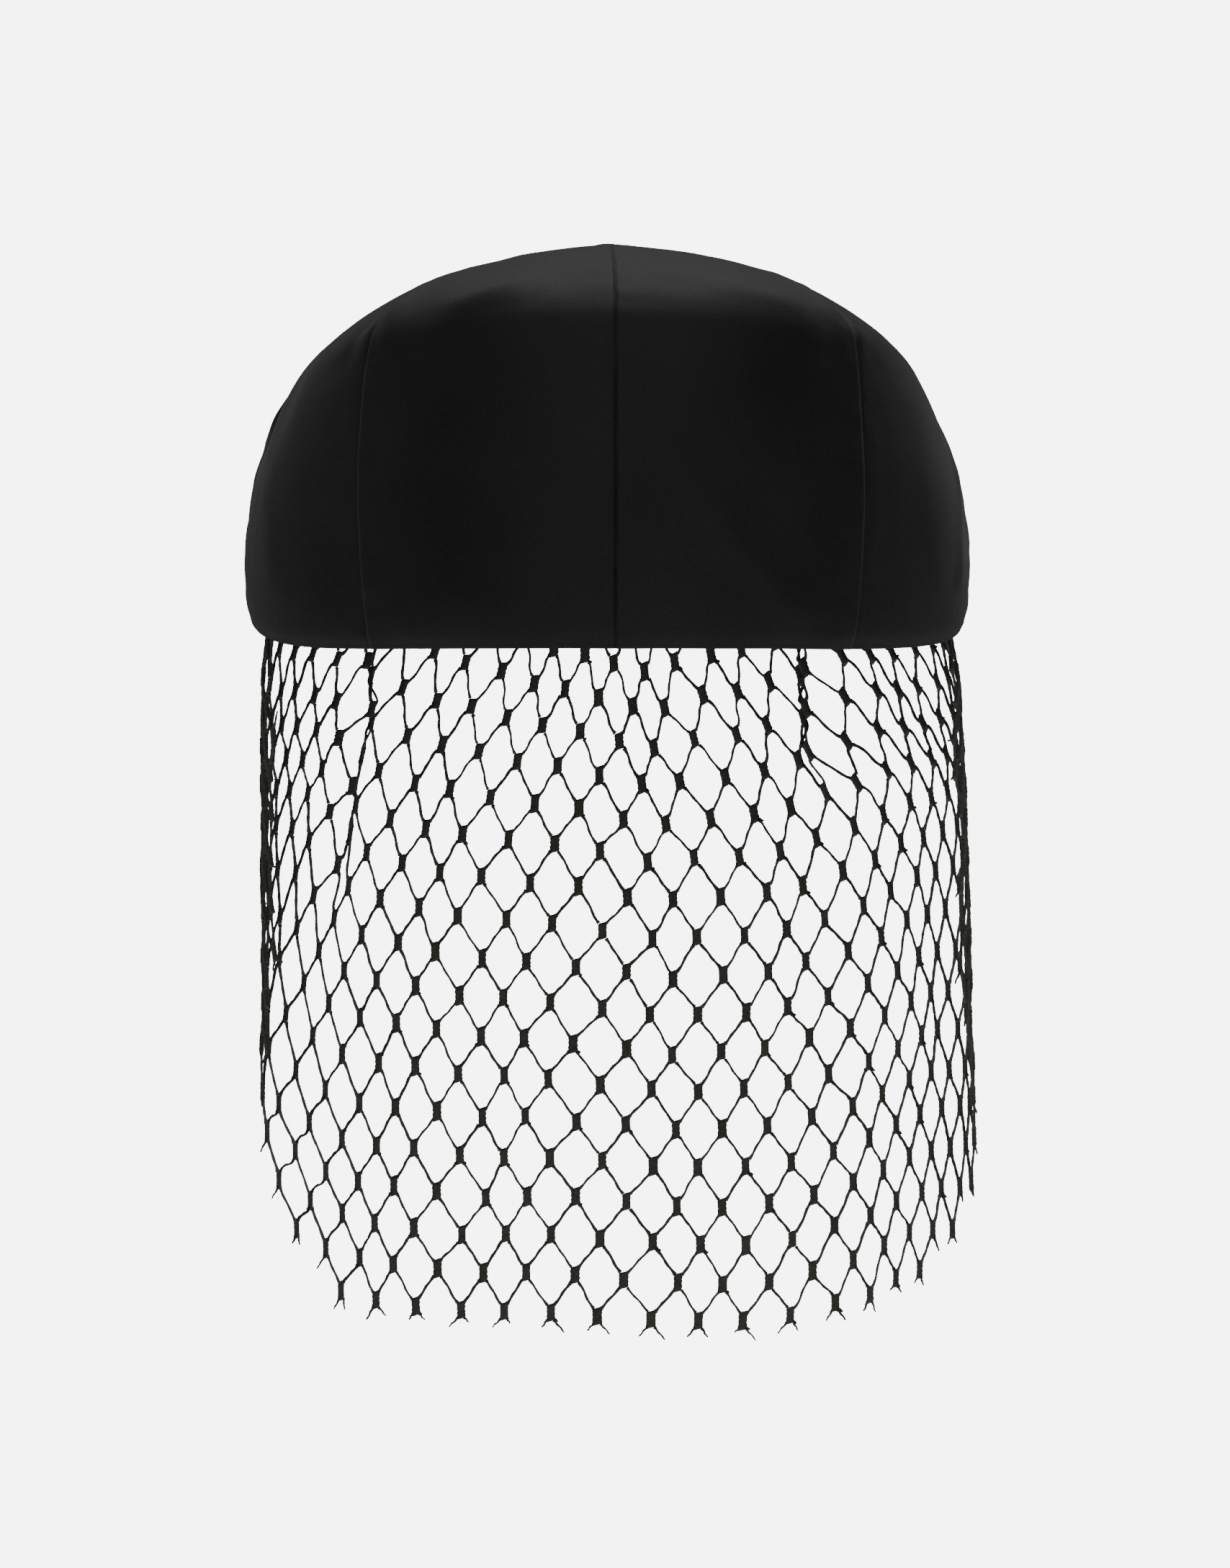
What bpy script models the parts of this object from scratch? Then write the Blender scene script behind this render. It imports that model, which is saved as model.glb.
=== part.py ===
"""A black satin flat cap sewn from eight gores, with a stiff peak and a coarse net veil.

Units are metres. +Z is up and +Y points to the peak, so the nape is at -Y. The origin is the centre
of the head opening, at the height of the hem at the nape. Directions round the cap are measured in
degrees from the nape: 0 is the nape, 90 the wearer's right (+X), 180 the peak.
"""

import math

import bmesh
import bpy
from mathutils import Vector

# Crown, measured over its outside.
CROWN_HALF_WIDTH = 0.0903
CROWN_BACK_REACH = 0.1010
CROWN_FRONT_REACH = 0.1110
CROWN_HEIGHT = 0.1008
CROWN_WALL = 0.0014
FRONT_HEM_RISE = 0.0195
HEM_RISE_SHARPNESS = 2.2
FRONT_SQUARENESS = 2.2
GORE_PUFF = 0.0008
APEX_SHARE = 0.984
GORE_COLUMNS = 8

# Seams and seats are this far apart.
CLEARANCE = 0.0003

# Button that closes the point where the gores meet.
BUTTON_RADIUS = 0.0065
BUTTON_HEIGHT = 0.0036
SHANK_RADIUS = 0.0030
SHANK_DEPTH = 0.0028
BUTTON_ARC_STEPS = 5
BUTTON_TURN_STEPS = 16

# Peak: a covered board under the front hem.
PEAK_REACH = 0.0480
PEAK_CORNER_REACH = 0.0030
PEAK_THICKNESS = 0.0032
PEAK_HALF_ANGLE = 47.0
PEAK_SLOPE = 10.0
PEAK_CAMBER = 0.0015
PEAK_OUTLINE_POWER = 2.3
PEAK_FORWARD_PULL = 0.9
PEAK_COLUMNS = 22
PEAK_ROWS = 5

# Veil: a net hung inside the front and sides of the hem.
VEIL_DROP = 0.1760
VEIL_HEADER = 0.0130
VEIL_HALF_ANGLE = 105.0
VEIL_THICKNESS = 0.0012
VEIL_STRAND = 0.0013
VEIL_KNOT_WIDTH = 0.0034
VEIL_KNOT_LENGTH = 0.0090
VEIL_COLUMNS = 13
VEIL_ROWS = 10
VEIL_CORNER_POWER = 2.4
VEIL_CORNER_SHARE = 0.96
VEIL_EDGE_SQUEEZE = 0.33
VEIL_FOLD_DEPTH = 0.0016
VEIL_FOLDS = 8
VEIL_RIGHT_FLARE = 0.0065

# Sections of the crown from the hem to the top. Reaches are shares of the crown's back reach,
# half width and front reach, and rises are shares of the way from the hem to the crown's height.
# Squareness is the power of the section's back half: 2 is an ellipse, more is boxier.
# name, back reach, back rise, side reach, side rise, front reach, front rise, squareness
CROWN_SECTIONS = (
    ("hem", 0.965, 0.000, 0.981, 0.000, 0.892, 0.000, 2.00),
    ("turn", 0.986, 0.120, 0.994, 0.072, 0.955, 0.038, 2.05),
    ("widest", 0.998, 0.280, 1.000, 0.185, 0.991, 0.108, 2.10),
    ("low wall", 1.000, 0.460, 0.981, 0.346, 1.000, 0.196, 2.20),
    ("mid wall", 0.985, 0.620, 0.941, 0.475, 0.973, 0.291, 2.30),
    ("high wall", 0.960, 0.730, 0.884, 0.592, 0.919, 0.373, 2.50),
    ("shoulder", 0.925, 0.805, 0.812, 0.690, 0.845, 0.462, 2.80),
    ("crest", 0.858, 0.860, 0.702, 0.782, 0.735, 0.573, 3.00),
    ("rise", 0.740, 0.923, 0.582, 0.856, 0.585, 0.696, 2.80),
    ("upper top", 0.560, 0.978, 0.446, 0.916, 0.405, 0.823, 2.50),
    ("ridge", 0.350, 1.000, 0.272, 0.962, 0.210, 0.924, 2.20),
    ("tip", 0.150, 0.993, 0.115, 0.980, 0.090, 0.968, 2.00),
)

# The gores, each from its own seam to the next one's.
# name, direction of its first seam
GORES = (
    ("gore_back_right", 0.0),
    ("gore_side_back_right", 38.0),
    ("gore_side_front_right", 86.0),
    ("gore_front_right", 137.0),
    ("gore_front_left", 180.0),
    ("gore_side_front_left", 223.0),
    ("gore_side_back_left", 274.0),
    ("gore_back_left", 321.0),
)

# Soft dents beside the side seams.
# direction, section, half width in degrees, half height in sections, share of the wall's puff
DENTS = (
    (272.0, 5.0, 7.0, 1.2, 2.7),
    (90.0, 5.6, 6.0, 1.0, 1.5),
)

# name, colour, roughness
SATIN = ("black_satin", (0.012, 0.012, 0.013), 0.42)
NET = ("black_net", (0.010, 0.010, 0.010), 0.85)


def hem_height(direction):
    """Height of the hem above the nape: level at the back, rising past the ears to the front."""
    share = (1.0 - math.cos(math.radians(direction))) / 2.0
    rising = share**HEM_RISE_SHARPNESS
    falling = (1.0 - share) ** HEM_RISE_SHARPNESS
    return FRONT_HEM_RISE * rising / (rising + falling)


def section_radius(direction, back, side, front, squareness):
    """Distance from the cap's axis to a section, a superellipse of its back, side and front."""
    turn = math.radians(direction)
    ahead = math.cos(turn)
    across = abs(math.sin(turn))
    reach, power = (back, squareness) if ahead >= 0.0 else (front, FRONT_SQUARENESS)
    return ((abs(ahead) / reach) ** power + (across / side) ** power) ** (-1.0 / power)


def place(direction, radius, height):
    """The point at a direction, a distance from the axis and a height."""
    turn = math.radians(direction)
    return Vector((radius * math.sin(turn), -radius * math.cos(turn), height))


def section_point(direction, row):
    """The crown's outside where a section meets a direction, or the ring round the button."""
    if row >= len(CROWN_SECTIONS):
        return place(direction, SHANK_RADIUS + CLEARANCE, APEX_SHARE * CROWN_HEIGHT)
    _, back, back_rise, side, side_rise, front, front_rise, squareness = CROWN_SECTIONS[max(row, 0)]
    ahead = math.cos(math.radians(direction))
    end_rise = back_rise if ahead >= 0.0 else front_rise
    rise = end_rise * ahead**2 + side_rise * (1.0 - ahead**2)
    radius = section_radius(
        direction,
        back * CROWN_BACK_REACH,
        side * CROWN_HALF_WIDTH,
        front * CROWN_FRONT_REACH,
        squareness,
    )
    hem = hem_height(direction)
    return place(direction, radius, hem + rise * (CROWN_HEIGHT - hem))


def smooth_between(before, low, high, after, share):
    """A Catmull-Rom curve from low to high, which keeps the flow of the sections."""
    square = share * share
    cube = square * share
    return 0.5 * (
        2.0 * low
        + (high - before) * share
        + (2.0 * before - 5.0 * low + 4.0 * high - after) * square
        + (3.0 * low - before - 3.0 * high + after) * cube
    )


def gore_share(direction):
    """How far across its gore a direction lies, from 0 at one seam to 1 at the next."""
    turn = direction % 360.0
    bounds = [start for _, start in GORES] + [360.0]
    for low, high in zip(bounds, bounds[1:]):
        if low <= turn <= high:
            return (turn - low) / (high - low)
    return 0.0


def crown_point(direction, height):
    """The crown's outside at a direction and a height counted in sections, 0 at the hem."""
    last = len(CROWN_SECTIONS)
    row = min(int(height), last - 1)
    rows = [section_point(direction, k) for k in (row - 1, row, row + 1, row + 2)]
    point = smooth_between(*rows, height - row)
    swell = GORE_PUFF * math.sin(math.pi * gore_share(direction)) ** 2
    swell *= math.sin(math.pi * height / last)
    for centre, level, half_turn, half_height, depth in DENTS:
        away = ((direction - centre + 180.0) % 360.0 - 180.0) / half_turn
        above = (height - level) / half_height
        swell -= depth * GORE_PUFF * math.exp(-(away**2) - above**2)
    return point + Vector((point.x, point.y, 0.0)).normalized() * swell


def clear_of_seam(direction, height):
    """The angle in degrees that leaves half a clearance beside a seam."""
    point = crown_point(direction, height)
    return math.degrees(0.5 * CLEARANCE / math.hypot(point.x, point.y))


def finish(name, colour, roughness):
    """The Principled material of a name, colour and roughness."""
    made = bpy.data.materials.get(name) or bpy.data.materials.new(name)
    made.use_nodes = True
    shader = made.node_tree.nodes["Principled BSDF"]
    shader.inputs["Base Color"].default_value = (*colour, 1.0)
    shader.inputs["Roughness"].default_value = roughness
    shader.inputs["Metallic"].default_value = 0.0
    return made


def add_object(name, mesh, material, cap, collection):
    """A named object for a mesh, under the cap's empty."""
    made = bpy.data.objects.new(name, mesh)
    collection.objects.link(made)
    mesh.materials.append(material)
    mesh.shade_smooth()
    made.parent = cap
    return made


def add_wall(piece, thickness):
    """Turn an open outer surface into a wall of a thickness, measured inwards."""
    solid = piece.modifiers.new("wall", "SOLIDIFY")
    solid.thickness = thickness
    solid.offset = -1.0
    solid.use_even_offset = True


def grid_mesh(name, columns, rows, surface):
    """An open mesh whose points are a function of their shares across and along it."""
    bm = bmesh.new()
    bmesh.ops.create_grid(bm, x_segments=columns, y_segments=rows, size=0.5)
    for vert in bm.verts:
        vert.co = surface(vert.co.x + 0.5, vert.co.y + 0.5)
    mesh = bpy.data.meshes.new(name)
    bm.to_mesh(mesh)
    bm.free()
    return mesh


def build_gore(index, material, cap, collection):
    """One of the gores, from the hem to the button."""
    name, low = GORES[index]
    high = GORES[index + 1][1] if index + 1 < len(GORES) else 360.0
    last = len(CROWN_SECTIONS)

    def surface(across, up):
        height = up * last
        start = low + clear_of_seam(low, height)
        end = high - clear_of_seam(high, height)
        return crown_point(start + across * (end - start), height)

    gore = add_object(name, grid_mesh(name, GORE_COLUMNS, last, surface), material, cap, collection)
    add_wall(gore, CROWN_WALL)
    return gore


def build_button(material, cap, collection):
    """The covered button: a turned dome whose shank fills the ring that the gores leave."""
    quarter = math.pi / 2.0 / BUTTON_ARC_STEPS
    profile = [
        (BUTTON_RADIUS * math.sin(quarter * step), BUTTON_HEIGHT * math.cos(quarter * step))
        for step in range(BUTTON_ARC_STEPS + 1)
    ]
    profile += [(SHANK_RADIUS, 0.0), (SHANK_RADIUS, -SHANK_DEPTH), (0.0, -SHANK_DEPTH)]
    mesh = bpy.data.meshes.new("button")
    edges = [(k, k + 1) for k in range(len(profile) - 1)]
    mesh.from_pydata([(radius, 0.0, height) for radius, height in profile], edges, [])
    button = add_object("button", mesh, material, cap, collection)
    button.location.z = APEX_SHARE * CROWN_HEIGHT + CLEARANCE
    turn = button.modifiers.new("turn", "SCREW")
    turn.steps = BUTTON_TURN_STEPS
    turn.render_steps = BUTTON_TURN_STEPS
    turn.use_merge_vertices = True
    turn.merge_threshold = 0.0001
    return button


def build_peak(material, cap, collection):
    """The peak: a crescent board that starts under the front hem and slopes down ahead of it."""
    fall = math.tan(math.radians(PEAK_SLOPE))
    lean = PEAK_THICKNESS * math.sin(math.radians(PEAK_SLOPE))
    tuck = CROWN_WALL - lean - CLEARANCE

    def surface(across, out):
        side = 2.0 * across - 1.0
        hem = crown_point(180.0 - side * PEAK_HALF_ANGLE, 0.0)
        outward = Vector((hem.x, hem.y, 0.0)).normalized()
        ahead = (outward + Vector((0.0, PEAK_FORWARD_PULL, 0.0))).normalized()
        widest = PEAK_REACH * (1.0 - abs(side) ** PEAK_OUTLINE_POWER)
        reach = (PEAK_CORNER_REACH + widest) * out
        drop = CLEARANCE + fall * reach + PEAK_CAMBER * (reach / PEAK_REACH) ** 2
        return hem - outward * tuck + ahead * reach - Vector((0.0, 0.0, drop))

    peak = add_object(
        "peak", grid_mesh("peak", PEAK_COLUMNS, PEAK_ROWS, surface), material, cap, collection
    )
    add_wall(peak, PEAK_THICKNESS)
    return peak


def veil_length(across):
    """The veil's length down from its top, which shortens in a round corner at each side."""
    rounding = abs(across * VEIL_CORNER_SHARE) ** VEIL_CORNER_POWER
    drop = VEIL_DROP * (1.0 - rounding) ** (1.0 / VEIL_CORNER_POWER)
    return VEIL_HEADER + crown_point(180.0 - across * VEIL_HALF_ANGLE, 0.0).z + drop


def veil_point(across, along):
    """The veil's outside: from -1 at its left edge to 1, and a length down from its top."""
    angle = math.radians(across * VEIL_HALF_ANGLE)
    hem = crown_point(180.0 - across * VEIL_HALF_ANGLE, 0.0)
    height = hem.z + VEIL_HEADER - along
    free = max(0.0, hem.z - PEAK_THICKNESS - height) / VEIL_DROP
    swell = VEIL_FOLD_DEPTH * (math.cos(VEIL_FOLDS * angle) - 1.0) * free
    swell += VEIL_RIGHT_FLARE * max(0.0, math.sin(angle)) ** 2 * math.sqrt(free)
    radius = math.hypot(hem.x, hem.y) - CROWN_WALL - CLEARANCE + swell
    return place(180.0 - across * VEIL_HALF_ANGLE, radius, height)


def add_net_cell(bm, centre, half_width, half_height, half_knot):
    """One hexagon of the net on a flat sheet, whose two upright sides are knots."""
    corners = bmesh.ops.create_circle(bm, cap_ends=True, segments=6, radius=1.0)["verts"]
    for corner in corners:
        upright = abs(corner.co.x) > 0.5
        across = math.copysign(half_width, corner.co.x) if upright else 0.0
        along = math.copysign(half_knot if upright else half_height, corner.co.y)
        corner.co = centre + Vector((across, along, 0.0))


def open_net(bm, half_width):
    """Cut each hexagon of a sheet through, which leaves its strands and its wider knots."""
    cells = list(bm.faces)
    half_strand = VEIL_STRAND / 2.0
    bmesh.ops.inset_region(
        bm, faces=cells, thickness=half_strand, use_boundary=True, use_outset=True,
        use_even_offset=True,
    )
    bmesh.ops.inset_individual(bm, faces=cells, thickness=half_strand, use_even_offset=True)
    widen = VEIL_KNOT_WIDTH / 2.0 - half_strand
    for cell in cells:
        middle = cell.calc_center_median().x
        for corner in cell.verts:
            if abs(corner.co.x - middle) > half_width / 2.0:
                corner.co.x -= math.copysign(widen, corner.co.x - middle)
    bmesh.ops.delete(bm, geom=cells, context="FACES_ONLY")


def build_veil(material, cap, collection):
    """The net: rows of hexagons cut through a flat sheet, which is then bent round the head."""
    side = math.radians(VEIL_HALF_ANGLE) * (CROWN_HALF_WIDTH - CROWN_WALL)
    half_width = side / VEIL_COLUMNS
    half_knot = VEIL_KNOT_LENGTH / 2.0
    row_step = (veil_length(0.0) + half_knot) / (VEIL_ROWS + 1)
    bm = bmesh.new()
    for row in range(VEIL_ROWS):
        shift = row % 2
        for column in range(VEIL_COLUMNS - shift):
            across = (2 * column + 1 + shift) * half_width - side
            along = (row + 1) * row_step
            if along < veil_length(across / side):
                centre = Vector((across, along, 0.0))
                add_net_cell(bm, centre, half_width, row_step - half_knot, half_knot)
    bmesh.ops.remove_doubles(bm, verts=list(bm.verts), dist=CLEARANCE)
    open_net(bm, half_width)

    # The last cells of a column reach past the rounded edge, so they are drawn up to it.
    for vert in bm.verts:
        across = vert.co.x / side
        over = vert.co.y - (veil_length(across) - 2.0 * row_step)
        drawn_up = max(0.0, over) * VEIL_EDGE_SQUEEZE * abs(across) ** VEIL_CORNER_POWER
        vert.co = veil_point(across, vert.co.y - drawn_up)
    mesh = bpy.data.meshes.new("veil")
    bm.to_mesh(mesh)
    bm.free()
    veil = add_object("veil", mesh, material, cap, collection)
    add_wall(veil, VEIL_THICKNESS)
    return veil


def main():
    """Build the cap."""
    for old in list(bpy.data.objects):
        bpy.data.objects.remove(old)
    collection = bpy.data.collections.new("flat_cap_with_veil")
    bpy.context.scene.collection.children.link(collection)
    cap = bpy.data.objects.new("cap", None)
    collection.objects.link(cap)
    satin = finish(*SATIN)
    for index in range(len(GORES)):
        build_gore(index, satin, cap, collection)
    build_button(satin, cap, collection)
    build_peak(satin, cap, collection)
    build_veil(finish(*NET), cap, collection)


main()
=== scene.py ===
"""A black satin flat cap with a coarse net veil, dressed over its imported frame.

Everything is in metres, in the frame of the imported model: +Z is up, +Y points to the peak, and the
origin is the centre of the head opening at the hem of the nape. Directions round the cap are in
degrees from the nape: 0 is the nape, 90 the wearer's right (+X) and 180 the peak.
"""

import logging
import math
import random
from dataclasses import dataclass, field
from enum import Enum
from typing import Callable, Iterable

import bmesh
import bpy
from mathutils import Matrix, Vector, noise


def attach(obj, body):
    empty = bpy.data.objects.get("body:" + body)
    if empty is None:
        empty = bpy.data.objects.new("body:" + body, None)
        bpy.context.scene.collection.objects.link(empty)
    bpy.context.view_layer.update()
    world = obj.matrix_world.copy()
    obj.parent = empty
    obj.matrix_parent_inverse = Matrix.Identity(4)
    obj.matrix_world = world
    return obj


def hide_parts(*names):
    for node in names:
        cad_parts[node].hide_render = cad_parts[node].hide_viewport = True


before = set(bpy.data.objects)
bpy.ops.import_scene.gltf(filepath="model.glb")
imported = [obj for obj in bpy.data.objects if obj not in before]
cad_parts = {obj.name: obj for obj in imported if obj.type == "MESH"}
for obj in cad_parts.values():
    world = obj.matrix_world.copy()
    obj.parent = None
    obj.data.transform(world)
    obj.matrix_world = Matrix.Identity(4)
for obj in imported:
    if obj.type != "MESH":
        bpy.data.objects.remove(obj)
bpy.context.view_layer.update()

logging.basicConfig(level=logging.INFO, format="%(name)s: %(message)s")
log = logging.getLogger("cap")


class Slot(Enum):
    """The record's material slots."""

    SATIN = "black_satin"
    NET = "black_net"


# Crown sections from the hem to the top: reaches as shares of the back reach, half width and
# front reach, and rises as shares of the way from the hem to the crown's height.
# back reach, back rise, side reach, side rise, front reach, front rise, squareness
SECTIONS = (
    (0.965, 0.000, 0.991, 0.000, 0.892, 0.000, 2.00),
    (0.986, 0.120, 0.998, 0.072, 0.955, 0.038, 2.05),
    (0.998, 0.280, 1.000, 0.185, 0.991, 0.108, 2.10),
    (1.000, 0.460, 0.981, 0.346, 1.000, 0.196, 2.20),
    (0.985, 0.620, 0.941, 0.475, 0.973, 0.291, 2.30),
    (0.969, 0.730, 0.884, 0.592, 0.919, 0.373, 2.50),
    (0.946, 0.812, 0.812, 0.690, 0.845, 0.462, 2.80),
    (0.889, 0.872, 0.702, 0.782, 0.735, 0.573, 2.90),
    (0.765, 0.932, 0.582, 0.856, 0.585, 0.696, 2.60),
    (0.570, 0.975, 0.440, 0.899, 0.405, 0.823, 2.30),
    (0.350, 0.996, 0.262, 0.956, 0.210, 0.924, 2.10),
    (0.150, 0.993, 0.115, 0.978, 0.090, 0.968, 2.00),
)

# The gores, each from its own seam to the next one's, by the direction of its first seam.
SEAMS = {
    "gore_back_right": 0.0,
    "gore_side_back_right": 38.0,
    "gore_side_front_right": 86.0,
    "gore_front_right": 137.0,
    "gore_front_left": 180.0,
    "gore_side_front_left": 223.0,
    "gore_side_back_left": 274.0,
    "gore_back_left": 321.0,
}

# Where a seam wanders: its direction, how far it goes, the section where it does, and over how many.
SEAM_SWAYS = {274.0: (-8.0, 4.6, 1.3), 86.0: (3.0, 4.8, 1.3), 38.0: (0.8, 6.5, 1.5), 321.0: (0.8, 6.8, 1.5)}

# How proud each gore stands at its first and last seam, where the seam is pressed to one side.
LIPS = {
    "gore_back_right": (0.00014, 0.00030),
    "gore_side_back_right": (-0.00006, 0.00010),
    "gore_side_front_right": (0.00024, -0.00004),
    "gore_front_right": (0.00024, 0.0),
    "gore_front_left": (0.00012, 0.00024),
    "gore_side_front_left": (-0.00004, 0.00024),
    "gore_side_back_left": (0.00010, -0.00006),
    "gore_back_left": (0.00030, 0.0),
}

# Soft dents beside the side seams.
# direction, section, half width in degrees, half height in sections, share of the puff
DENTS = ((271.0, 4.9, 5.0, 0.9, 2.7), (90.0, 5.6, 6.0, 1.0, 1.5))

# Soft folds of the cloth, each a line from one direction and section to another.
# first direction, first section, last direction, last section, half width, rise
FOLDS = (
    (3.0, 3.5, 27.0, 0.8, 0.0040, 0.00075),
    (79.0, 4.4, 70.0, 2.4, 0.0030, 0.00070),
    (70.0, 2.4, 69.0, 1.5, 0.0030, 0.00060),
    (326.5, 5.0, 323.5, 7.6, 0.0034, 0.00090),
    (317.0, 5.4, 319.0, 7.8, 0.0030, -0.00060),
    (336.0, 6.3, 349.0, 7.3, 0.0060, 0.00110),
    (330.0, 7.0, 332.0, 5.2, 0.0050, -0.00070),
    (11.0, 7.4, 28.0, 6.7, 0.0055, 0.00090),
    (35.0, 6.2, 39.0, 8.2, 0.0026, 0.00035),
    (32.0, 5.0, 34.0, 6.4, 0.0040, -0.00060),
    (264.0, 3.9, 266.5, 5.6, 0.0016, 0.00110),
    (276.0, 4.2, 281.0, 6.6, 0.0050, -0.00090),
    (286.0, 3.9, 291.0, 7.0, 0.0060, 0.00090),
    (34.0, 0.1, 33.5, 1.1, 0.0009, 0.00022),
    (300.0, 1.2, 290.0, 3.6, 0.0060, 0.00035),
    (52.0, 3.6, 60.0, 1.4, 0.0060, 0.00030),
    (345.0, 5.8, 352.0, 3.2, 0.0070, 0.00025),
    (120.0, 3.0, 110.0, 1.2, 0.0055, 0.00040),
    (240.0, 3.2, 250.0, 1.2, 0.0055, 0.00040),
    (312.0, 8.9, 330.0, 9.0, 0.0120, -0.00055),
)


# Folds of the net, where its columns are drawn together.
# turn and height of the upper end, turn and height of the lower end, half width and draw in degrees
NET_FOLDS = (
    (-44.5, 0.000, -55.0, -0.066, 2.8, 5.2),
    (40.5, 0.004, 43.0, -0.034, 2.8, 5.0),
)

# How far a fold of the net stands inwards at its middle.
FOLD_DRAUGHT = 0.0065

# Rise of the cloth between two sections, near enough for lengths measured on it.
SECTION_STEP = 0.0125

# A lip prouder than this is painted lighter along its edge: wear and a painted highlight where the raised
# edge catches light.
PROUD_LIP = 0.0002


@dataclass(frozen=True)
class Crown:
    """The crown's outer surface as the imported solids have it, with the cloth's own relief."""

    half_width: float = 0.0903
    back_reach: float = 0.1010
    front_reach: float = 0.1110
    height: float = 0.1008
    wall: float = 0.0014
    hem_rise: float = 0.0195
    hem_sharpness: float = 2.2
    front_squareness: float = 2.2
    puff: float = 0.0008
    apex_share: float = 0.984
    button_seat: float = 0.0033
    seam_gap: float = 0.0003

    def hem(self, direction: float) -> float:
        """Height of the hem: level at the back, rising past the ears to the front."""
        share = (1.0 - math.cos(math.radians(direction))) / 2.0
        rising, falling = share**self.hem_sharpness, (1.0 - share) ** self.hem_sharpness
        return self.hem_rise * rising / (rising + falling)

    def ring_point(self, direction: float, row: int) -> Vector:
        """The point where a section meets a direction, or the ring round the button."""
        turn = math.radians(direction)
        ahead, across = math.cos(turn), abs(math.sin(turn))
        if row >= len(SECTIONS):
            radius, level = self.button_seat, self.apex_share * self.height
        else:
            back, back_rise, side, side_rise, front, front_rise, power = SECTIONS[max(row, 0)]
            reach, rise = back * self.back_reach, back_rise
            if ahead < 0.0:
                reach, rise, power = front * self.front_reach, front_rise, self.front_squareness
            rise = rise * ahead**2 + side_rise * (1.0 - ahead**2)
            shares = (abs(ahead) / reach) ** power + (across / (side * self.half_width)) ** power
            radius, hem = shares ** (-1.0 / power), self.hem(direction)
            level = hem + rise * (self.height - hem)
        return Vector((radius * math.sin(turn), -radius * math.cos(turn), level))

    def gore_share(self, direction: float) -> float:
        """How far across its gore a direction lies, from 0 at one seam to 1 at the next."""
        turn = direction % 360.0
        bounds = [*SEAMS.values(), 360.0]
        return next(
            ((turn - low) / (high - low) for low, high in zip(bounds, bounds[1:]) if low <= turn <= high),
            0.0,
        )

    def point(self, direction: float, level: float) -> Vector:
        """The surface at a direction and a height counted in sections, 0 at the hem."""
        last = len(SECTIONS)
        row = min(int(level), last - 1)
        before, low, high, after = (self.ring_point(direction, k) for k in range(row - 1, row + 3))
        step = level - row
        point = 0.5 * (
            2.0 * low
            + (high - before) * step
            + (2.0 * before - 5.0 * low + 4.0 * high - after) * step**2
            + (3.0 * low - before - 3.0 * high + after) * step**3
        )
        swell = self.puff * math.sin(math.pi * self.gore_share(direction)) ** 2
        swell *= math.sin(math.pi * level / last)
        for centre, middle, half_turn, half_height, depth in DENTS:
            away = ((direction - centre + 180.0) % 360.0 - 180.0) / half_turn
            swell -= depth * self.puff * math.exp(-(away**2) - ((level - middle) / half_height) ** 2)
        return point + Vector((point.x, point.y, 0.0)).normalized() * swell


class Mesher:
    """Turns shapes into objects that ride on the frame."""

    @staticmethod
    def grid(columns: int, rows: int, surface: Callable[[float, float], Vector]) -> bmesh.types.BMesh:
        """An open grid whose points are a function of their shares across and along it."""
        bm = bmesh.new()
        bmesh.ops.create_grid(bm, x_segments=columns, y_segments=rows, size=0.5)
        for vert in bm.verts:
            vert.co = surface(vert.co.x + 0.5, vert.co.y + 0.5)
        bm.normal_update()
        return bm

    @staticmethod
    def add(name: str, bm: bmesh.types.BMesh, finish: "Finish", nodes: Iterable[str]) -> bpy.types.Object:
        """Make an object of a mesh, dress it, and put it in the place of CAD nodes.

        Args:
            name: The piece's name.
            bm: The mesh, which is freed.
            finish: The finish it is dressed in.
            nodes: The CAD nodes that it stands for.

        Returns:
            The object, which rides on the root body.
        """
        mesh = bpy.data.meshes.new(name)
        bm.to_mesh(mesh)
        bm.free()
        mesh.shade_smooth()
        made = bpy.data.objects.new(name, mesh)
        bpy.context.scene.collection.objects.link(made)
        finish.dress(made)
        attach(made, "root")
        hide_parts(*nodes)
        log.info("%s: %d faces before modifiers", name, len(mesh.polygons))
        return made

    @staticmethod
    def wall(made: bpy.types.Object, thickness: float, rounding: float) -> None:
        """Turn an open outer surface into a wall with rounded edges, measured inwards."""
        solid = made.modifiers.new("wall", "SOLIDIFY")
        solid.thickness, solid.offset, solid.use_even_offset = thickness, -1.0, True
        bevel = made.modifiers.new("rounding", "BEVEL")
        bevel.width, bevel.segments, bevel.limit_method = rounding, 2, "ANGLE"
        bevel.angle_limit = math.radians(50.0)
        bevel.harden_normals = False


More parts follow.
